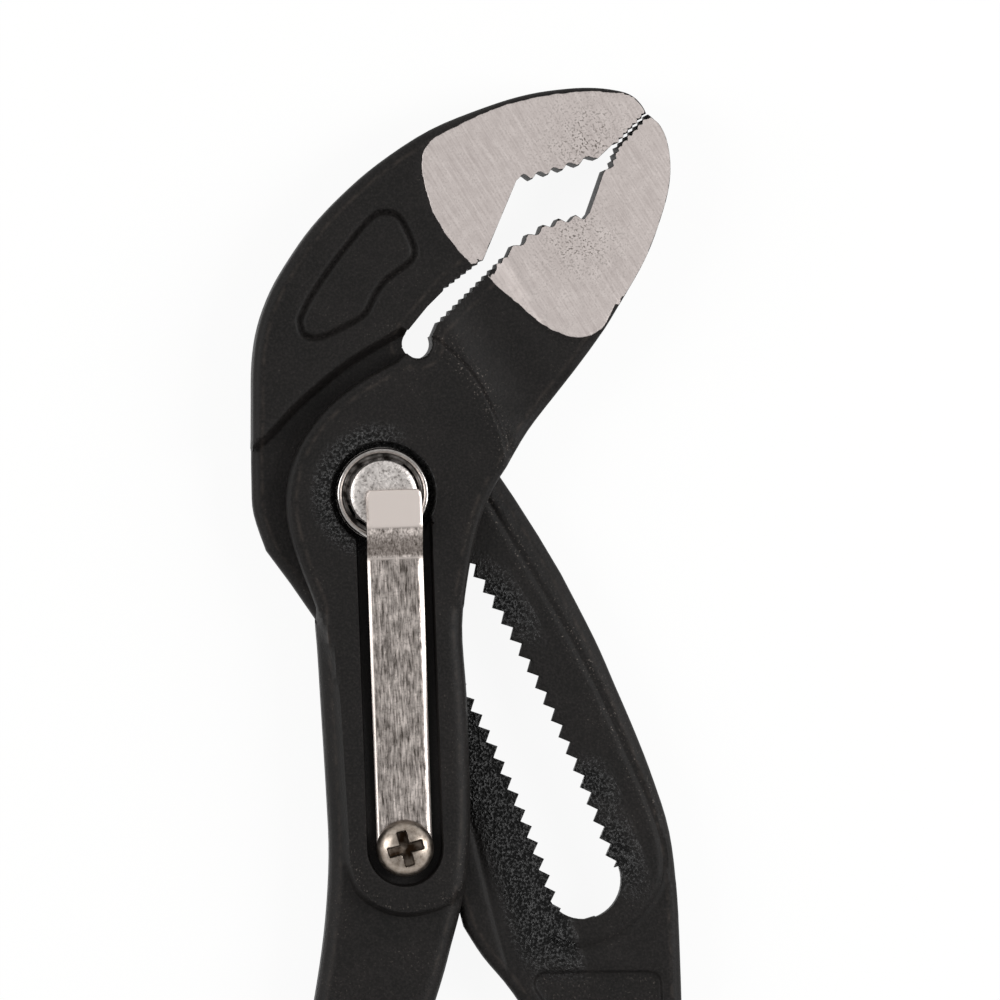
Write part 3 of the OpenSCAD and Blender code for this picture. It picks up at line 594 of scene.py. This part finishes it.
def metal(name, light, dark, shade_and_dirt_colour, rough, line_mm, stretch, speck, bump):
    """Bare steel: two tones along fine lines, roughness that follows them and small dark specks. The
    attribute plain takes the lines off and gives the light tone, a painted highlight where it marks one,
    and the attribute dirty lays a mottled dark colour on, painted shade where it marks shade."""
    made = bpy.data.materials.new(name)
    made.use_nodes = True
    tree = made.node_tree
    shader = tree.nodes["Principled BSDF"]
    place = add(tree, "ShaderNodeTexCoord", out="Object")
    plain = add(tree, "ShaderNodeAttribute", attribute_name="plain", out="Fac")
    dirty = add(tree, "ShaderNodeAttribute", attribute_name="dirty", out="Fac")
    run = add(tree, "ShaderNodeMapping", {"Vector": place, "Rotation": (0, 0, math.pi / 2 + lean),
              "Scale": (line_mm * stretch * MM, line_mm * MM, line_mm * MM)}, vector_type="TEXTURE")
    lines = add(tree, "ShaderNodeTexNoise", {"Vector": run, "Scale": 1.0, "Detail": 3.0})
    blotch = add(tree, "ShaderNodeTexNoise", {"Vector": place, "Scale": 1 / (1.6 * MM), "Detail": 4.0})
    spots = add(tree, "ShaderNodeTexNoise", {"Vector": place, "Scale": 1 / (0.3 * MM), "Detail": 2.0})
    tone = add(tree, "ShaderNodeMath", {0: blotch, 1: 0.5, 2: lines}, operation="MULTIPLY_ADD")
    tone = add(tree, "ShaderNodeMapRange", {"Value": tone, "From Min": 0.5, "From Max": 1.0})
    # painted highlight: plain lifts the tone to the light colour
    tone = add(tree, "ShaderNodeMath", {0: tone, 1: plain}, operation="MAXIMUM")
    colour = add(tree, "ShaderNodeMix", {0: tone, 6: srgb(dark), 7: srgb(light)}, data_type="RGBA", out=2)
    spot = add(tree, "ShaderNodeMapRange", {"Value": spots, "From Min": 0.52, "From Max": 0.68,
               "To Max": speck})
    clean = add(tree, "ShaderNodeMath", {0: 1.0, 1: plain}, operation="SUBTRACT")
    spot = add(tree, "ShaderNodeMath", {0: spot, 1: clean}, operation="MULTIPLY")
    colour = add(tree, "ShaderNodeMix", {0: spot, 6: colour, 7: srgb("#5b534d")}, data_type="RGBA", out=2)
    # painted shade and dirt: a mottled dark colour wherever dirty is set
    shade_and_dirt_mask = add(tree, "ShaderNodeMapRange", {"Value": blotch, "From Min": 0.25, "From Max": 0.6,
               "To Min": 0.55, "To Max": 1.0})
    shade_and_dirt_mask = add(tree, "ShaderNodeMath", {0: shade_and_dirt_mask, 1: dirty}, operation="MULTIPLY")
    colour = add(tree, "ShaderNodeMix", {0: shade_and_dirt_mask, 6: colour, 7: srgb(shade_and_dirt_colour)}, data_type="RGBA", out=2)
    tree.links.new(colour, shader.inputs["Base Color"])
    dull = add(tree, "ShaderNodeMapRange", {"Value": tone, "To Min": rough * 0.8, "To Max": rough * 1.2})
    dull = add(tree, "ShaderNodeMath", {0: dirty, 1: 0.25, 2: dull}, operation="MULTIPLY_ADD")
    tree.links.new(dull, shader.inputs["Roughness"])
    shader.inputs["Metallic"].default_value = 1.0
    relief = add(tree, "ShaderNodeBump", {"Height": tone, "Strength": bump, "Distance": 0.03 * MM})
    tree.links.new(relief, shader.inputs["Normal"])
    return made


bush_low, bush_high = (np.array(c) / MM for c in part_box("hinge_bush"))
wall_r, bore = (np.hypot(*l[0]) for l in outlines("hinge_bush", 11.0)[:2])
lip_r = np.hypot(*outlines("hinge_bush", 11.6)[1][0])
flange_r, low, top = bush_high[0], bush_low[2], bush_high[2]
# a broad polished bead on the wall, and inside it the lip, painted dark as the shade of the gap
t = np.linspace(-1, 1, 11)
beads = np.concatenate([np.c_[wall_r - 0.38 - 0.36 * t, top - 0.16 * t**2],
                        np.c_[lip_r + 0.26 - 0.26 * t, top - 0.28 - 0.10 * t**2]])
bush_shell = turned_part([
    (bore, low), (flange_r, low), (flange_r, low + 0.7), (wall_r, low + 0.7), (wall_r, top - 0.25),
    *beads, (lip_r, top - 0.6), (bore, top - 0.6)])
# painted shade: the lip inside the bead is darkened through dirty
bush = piece("bright_bush", [bush_shell],
             metal("polished_bush_steel", "#d2cdc9", "#b5afab", "#1c1917", rough=0.13, line_mm=0.5,
                   stretch=1.0, speck=0.05, bump=0.1),
             dirty=ramp(np.hypot(*bush_shell[0][:, :2].T), lip_r + 0.62, lip_r + 0.45))
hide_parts("hinge_bush")
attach(bush, "hinge_bush")


# Locking bolt: turned steel with a satin face. Its toothed collar fits the slot, the head
# lies under the spring's tab and the tail is the button at the back.

bolt_low, bolt_high = (np.array(c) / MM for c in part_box("lock_bolt"))
collar_z, collar_top = 9.15, 11.15
collar = spaced(outlines("lock_bolt", 0.5 * (collar_z + collar_top))[0], 0.4)
r_head, r_tail, top, low = 4.75, 4.0, bolt_high[2], bolt_low[2]
bolt_shells = [
    turned_part([(0.0, collar_top - 0.2), (3.0, collar_top - 0.2), (3.0, collar_top - 0.02),
                 (r_head, collar_top - 0.02), (r_head, top - 0.45), (r_head - 0.12, top - 0.18),
                 (r_head - 0.45, top - 0.02), (r_head - 0.9, top), (1.0, top), (0.0, top)]),
    plate([collar], even(0.12), even(collar_top), even(collar_z)),
    turned_part([(0.0, low), (r_tail - 0.5, low), (r_tail - 0.15, low + 0.15), (r_tail, low + 0.5),
                 (r_tail, collar_z + 0.2), (0.0, collar_z + 0.2)])]
# the collar is painted dark as shade, under the polished head
bolt = piece("satin_bolt", bolt_shells,
             metal("satin_turned_steel", "#e6e0dc", "#c0bab6", "#1c1917", rough=0.38, line_mm=0.35,
                   stretch=1.0, speck=0.65, bump=0.8),
             dirty=np.repeat((0.0, 1.0, 0.0), [len(s[0]) for s in bolt_shells]))
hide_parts("lock_bolt")
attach(bolt, "lock_bolt")


# Leaf spring: a strip of brushed spring steel under the screw, with two bends and a tab that
# lies on the bolt. The real strip is flat when the bolt is in and bends up as the button is pressed; here
# it is built in one pose, bent up by the joint's limit.

leaf_w, leaf_t, leaf_z, tab_z = 7.8, 0.8, 10.8, 13.05
arm = np.hypot(*screw) - 4.6
flat_l, rise_l, tab_l, corner = arm - 4.4, 4.4, 5.3, 0.8
half = leaf_w / 2
quarter = np.radians(np.arange(0, 91, 10))
leaf_end = np.concatenate([
    np.c_[half * np.cos(np.pi + 2 * quarter), half * np.sin(np.pi + 2 * quarter)],
    np.c_[half - corner + corner * np.cos(quarter), arm + tab_l - corner + corner * np.sin(quarter)],
    np.c_[corner - half + corner * np.cos(np.pi / 2 + quarter),
          arm + tab_l - corner + corner * np.sin(np.pi / 2 + quarter)]])
hole = 2.3 * circle
bend = 0.45                                 # half the length over which each fold turns


def leaf_face(p):
    """The strip's front, rolled down along its edges: a broad flat roll on the right, a narrow one on
    the left."""
    on_strip = ramp(p[:, 1], arm + 0.6, flat_l - 0.6)
    return leaf_t - on_strip * (0.24 * np.clip((p[:, 0] - half + 0.85) / 0.7, 0, 1) ** 2
                                + 0.12 * np.clip((0.6 - half - p[:, 0]) / 0.45, 0, 1) ** 2)


def fold(x, at):
    """The integral of a smooth turn at one place: 0 before it, a straight rise after it."""
    t = np.clip((x - at + bend) / (2 * bend), 0, 1)
    return np.where(x > at + bend, x - at, 2 * bend * (t**3 - 0.5 * t**4))


lengthwise, crosswise = np.arange(-1.0, arm + tab_l, 0.6), np.arange(-half, half + 0.1, 0.4)
leaf_lines = [(np.c_[np.full(len(lengthwise), x), lengthwise], (-0.1, 0.0, 0.1), False)
              for x in (half - 0.7, half - 0.5, half - 0.3, 0.4 - half)]
leaf_lines += [(np.c_[crosswise, np.full(len(crosswise), y)], np.linspace(-0.5, 0.5, 7), False)
               for y in (flat_l, arm)]
strip = plate([spaced(leaf_end, 0.4), spaced(hole, 0.5)], even(0.16), leaf_face, even(0.0), leaf_lines,
              grid=0.6)
v = strip[0].copy()
v[:, 2] += leaf_z + (tab_z - leaf_z) / rise_l * (fold(v[:, 1], flat_l) - fold(v[:, 1], arm))
rising = ramp(v[:, 1], flat_l - 0.3, flat_l + 0.3) * ramp(v[:, 1], arm + 0.1, arm - 0.5)
# painted shade: the rising slope between the two folds is darkened in a brown colour
slope_shade = ramp(v[:, 1], flat_l + 0.2, flat_l + 0.6) * ramp(v[:, 1], arm - 0.5, arm - 2.2)
# painted highlight: a light band along the first fold, where the strip starts to rise
crease = np.exp(-((v[:, 1] - flat_l) / 0.25) ** 2)
on_tab = ramp(v[:, 1], arm - 0.3, arm + 0.2)
# the strip turns upward by a share of the joint's angle that grows from the screw to the tab
flex_from, flex_to, flex_z = 4.2, 34.0, joint_at["leaf_flex"][2]
flex = [j for j in frame["joints"] if j["name"] == "leaf_flex"][0]
turn = -math.radians(min(flex["range_deg"])) * ramp(v[:, 1], flex_from, flex_to)
over = v[:, 2] - flex_z
reach = v[:, 1] * np.cos(turn) - over * np.sin(turn)
over = v[:, 1] * np.sin(turn) + over * np.cos(turn)
bent = np.c_[screw + reach[:, None] * along + v[:, :1] * (along[1], -along[0]), over + flex_z]
# painted highlight: the rolled edges take the steel's light tone, except on the rising slope
rolled = np.maximum(ramp(v[:, 0], half - 0.8, half - 0.4), ramp(v[:, 0], 0.55 - half, 0.35 - half))
# the tab is plain; dirty paints shade on the rising slope and along the tab's left edge
leaf = piece("leaf_spring_strip", [(bent, strip[1])],
             metal("brushed_spring_steel", "#f0e5de", "#4c453f", "#3d332b", rough=0.3, line_mm=0.26,
                   stretch=8.0, speck=0.45, bump=0.6),
             plain=np.maximum(on_tab, np.maximum(rolled * (1 - rising), 0.8 * crease)),
             dirty=np.maximum(0.65 * slope_shade, 0.7 * on_tab * ramp(v[:, 0], 0.45 - half, 0.2 - half)))
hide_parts("leaf_spring")
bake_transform(leaf)


# Screw: a nickel-plated M4 pan-head screw with a cross recess, which holds the spring down in
# its channel.

head_r, head_h, head_z, thread_r, point_z = 4.0, 2.4, 11.9, 2.0, 2.4
cross_l, cross_w, cross_d, cross_turn = 2.6, 0.75, 1.5, math.radians(15)


def pan_head(sides=144):
    """A screw as rows of points round its axis: a dome whose height falls as a power of the radius,
    with a cross sunk into it, then the edge of the head, its underside, the thread and the point."""
    share = np.concatenate([np.linspace(0, 0.9, 40), [0.94, 0.97, 0.99, 1.0]])[:, None]
    angle = np.arange(sides)[None] * 2 * np.pi / sides
    x, y = head_r * share * np.cos(angle), head_r * share * np.sin(angle)
    a = abs(x * math.cos(cross_turn) + y * math.sin(cross_turn))
    b = abs(y * math.cos(cross_turn) - x * math.sin(cross_turn))
    wing = np.maximum(*(ramp(p, cross_l, cross_l - 0.25) * ramp(q, cross_w, cross_w - 0.2)
                        for p, q in ((a, b), (b, a))))
    pan = head_z + head_h * np.maximum(1 - share**3, 0.004) ** 0.45 + 0 * x
    floor_z = np.minimum(head_z + head_h - cross_d + 0.22 * np.maximum(a, b), pan)
    dome = np.stack([x, y, pan + wing * (floor_z - pan)], -1)
    below = np.array([(head_r, head_z), (thread_r, head_z), (thread_r, point_z + 0.4),
                      (thread_r - 0.4, point_z), (0.0, point_z)])
    shank = np.stack([below[:, :1] * np.cos(angle), below[:, :1] * np.sin(angle),
                      np.broadcast_to(below[:, 1:], (len(below), sides))], -1)
    v = np.concatenate([dome, shank])
    # painted shade: the dome darkens towards its rim; the cross recess is dark brown
    rim_shade = 0.45 * ramp(share, 0.72, 1.0) + 0 * x
    shade_and_dirt_mask = np.concatenate([np.maximum(wing, rim_shade), np.zeros((len(below), sides))])
    return (v.reshape(-1, 3) + (*screw, 0), net(len(v), sides)[:, [0, 3, 2, 1]]), shade_and_dirt_mask.ravel()


pan, shade_and_dirt_mask = pan_head()
spring_screw = piece("pan_head_screw", [pan],
                     metal("nickel_plated_screw", "#b9aea3", "#85796d", "#21170f", rough=0.3, line_mm=0.8,
                           stretch=1.0, speck=0.3, bump=0.2),
                     dirty=shade_and_dirt_mask)
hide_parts("spring_screw")
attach(spring_screw, "outer_leg")


# Grips: soft PVC, dipped over each handle, dark and matt, with a rolled lip at the top and a
# full round end.

def dipped_vinyl():
    """Dipped vinyl: a dark soft plastic with a fine matt skin and faint waves from the dip."""
    made = bpy.data.materials.new("dipped_vinyl")
    made.use_nodes = True
    tree = made.node_tree
    shader = tree.nodes["Principled BSDF"]
    place = add(tree, "ShaderNodeTexCoord", out="Object")
    skin = add(tree, "ShaderNodeTexNoise", {"Vector": place, "Scale": 1 / (0.5 * MM), "Detail": 3.0})
    wave = add(tree, "ShaderNodeTexNoise", {"Vector": place, "Scale": 1 / (9 * MM)})
    colour = add(tree, "ShaderNodeMix", {0: wave, 6: srgb("#232325"), 7: srgb("#2e2e31")},
                 data_type="RGBA", out=2)
    tree.links.new(colour, shader.inputs["Base Color"])
    dull = add(tree, "ShaderNodeMapRange", {"Value": skin, "To Min": 0.42, "To Max": 0.62})
    tree.links.new(dull, shader.inputs["Roughness"])
    bump = add(tree, "ShaderNodeBump", {"Height": skin, "Strength": 0.35, "Distance": 0.04 * MM})
    tree.links.new(bump, shader.inputs["Normal"])
    shader.inputs["Specular IOR Level"].default_value = 0.35
    return made


grip_top, grip_run, end_l, half_w, half_d, squareness = -105, 79, 9.2, 8.0, 6.5, 0.62


def dipped_grip(axis_x, sides=72):
    """A grip: squared ovals carried down a handle's axis, closed at the top round a lip, with slight
    waists for the fingers and a round end. Each oval is cos and sin raised to a power that squares it."""
    axis = curve([(x, grip_top - grip_run * i / 4) for i, x in enumerate(axis_x)], 24)[24:]
    d = np.gradient(axis, axis=0)
    tangent = d / np.linalg.norm(d, axis=1)[:, None]
    cap = np.sin(np.linspace(0, np.pi / 2, 14)[1:])
    axis = np.concatenate([axis[:1], axis, axis[-1] + tangent[-1] * (end_l * cap)[:, None]])
    tangent = np.concatenate([tangent[:1], tangent, np.repeat(tangent[-1:], len(cap), 0)])
    run = np.concatenate([[0], np.cumsum(np.linalg.norm(np.diff(axis, axis=0), axis=1))])
    lip = 1 - 0.10 * ramp(run, 4.0, 0.0) + 0.05 * np.exp(-((run - 3.2) / 1.3) ** 2)
    waist = 1 - 0.018 * (1 - np.cos(run / 10.5)) * ramp(run, 6, 16)
    end = np.concatenate([[0], np.ones(len(axis) - len(cap) - 1), np.sqrt(np.maximum(1 - cap**2, 0))])
    swell = (end * np.minimum(lip, 1.0) * waist)[:, None]
    a = np.arange(sides) * 2 * np.pi / sides
    c, s = np.cos(a), np.sin(a)
    wide = half_w * np.sign(c) * abs(c) ** squareness
    deep = half_d * np.sign(s) * abs(s) ** squareness
    normal = np.c_[-tangent[:, 1], tangent[:, 0]]
    v = np.concatenate([axis[:, None] + normal[:, None] * (swell * wide)[..., None],
                        (mid_z + swell * deep)[..., None]], -1)
    return v.reshape(-1, 3), net(len(axis), sides)


vinyl = dipped_vinyl()
for name, leg, axis_x in (("inner_grip", "inner_leg", (37.4, 39.8, 40.8, 39.6, 36.6)),
                          ("outer_grip", "outer_leg", (-7.9, -12.6, -15.4, -15.3, -12.8))):
    grip = piece(name + "_vinyl", [dipped_grip(axis_x)], vinyl, 50)
    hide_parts(name)
    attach(grip, leg)


# Stage: a white sweep under the tool, a tall softbox on each side of it and a long lens above,
# a little to the left. The ceiling is greyer than the walls, so flat steel shows less light.

def rays_that_see(tree):
    """1 for rays from the camera, a mirror or glass, and 0 for rays that gather light."""
    camera, mirror, glass = (add(tree, "ShaderNodeLightPath", out=f"Is {ray} Ray")
                             for ray in ("Camera", "Glossy", "Transmission"))
    seen = add(tree, "ShaderNodeMath", {0: camera, 1: mirror}, operation="ADD")
    return add(tree, "ShaderNodeMath", {0: seen, 1: glass}, operation="ADD", use_clamp=True)


def white_floor():
    """A matt white floor. The camera and mirrors see it as white, with the tool's soft shadow."""
    made = bpy.data.materials.new("white_floor")
    made.use_nodes = True
    tree = made.node_tree
    shader = tree.nodes["Principled BSDF"]
    seen = rays_that_see(tree)
    colour = add(tree, "ShaderNodeMix", {0: seen, 6: srgb("#f6f5f3"), 7: srgb("#515150")},
                 data_type="RGBA", out=2)
    tree.links.new(colour, shader.inputs["Base Color"])
    lift = add(tree, "ShaderNodeMath", {0: seen, 1: 0.92}, operation="MULTIPLY")
    tree.links.new(lift, shader.inputs["Emission Strength"])
    shader.inputs["Emission Color"].default_value = (1, 1, 1, 1)
    shader.inputs["Roughness"].default_value = 0.9
    shader.inputs["Specular IOR Level"].default_value = 0.0
    return made


bpy.ops.mesh.primitive_plane_add(size=6, location=(0, 0, -0.00005))
floor = bpy.context.object
floor.name = "floor"
floor.data.materials.append(white_floor())
world = bpy.data.worlds.new("studio")
scene.world = world
world.use_nodes = True
tree = world.node_tree
up = add(tree, "ShaderNodeSeparateXYZ", {0: add(tree, "ShaderNodeTexCoord", out="Generated")}, out="Z")
glow = add(tree, "ShaderNodeMapRange", {"Value": up, "From Min": 0.4, "From Max": 0.95,
           "To Min": 1.0, "To Max": 0.5}, interpolation_type="SMOOTHSTEP")
strength = add(tree, "ShaderNodeMix", {0: rays_that_see(tree), 2: 0.35, 3: glow})
tree.links.new(strength, tree.nodes["Background"].inputs["Strength"])
tree.nodes["Background"].inputs["Color"].default_value = (1, 1, 1, 1)
for name, at, watts in (("right_softbox", (0.62, 0.05, 0.55), 4.2),
                        ("left_softbox", (-0.62, 0.1, 0.55), 3.0)):
    lamp = bpy.data.lights.new(name, "AREA")
    lamp.shape, lamp.size, lamp.size_y, lamp.energy = "RECTANGLE", 0.3, 0.6, watts
    lamp_at = bpy.data.objects.new(name, lamp)
    lamp_at.location = at
    lamp_at.rotation_euler = (-Vector(at)).to_track_quat("-Z", "Y").to_euler()
    lamp_at.visible_camera = False
    scene.collection.objects.link(lamp_at)
view_w, stand, tilt = 0.14, 1.6, math.radians(3.2)
aim_x, aim_y, aim_z = 0.01638, -0.00084, 0.0125
camera = bpy.data.cameras.new("camera")
camera.lens = 36 * stand / view_w
camera_at = bpy.data.objects.new("camera", camera)
camera_at.location = (aim_x - stand * math.sin(tilt), aim_y, aim_z + stand * math.cos(tilt))
camera_at.rotation_euler = (0, -tilt, 0)
scene.collection.objects.link(camera_at)
scene.camera = camera_at
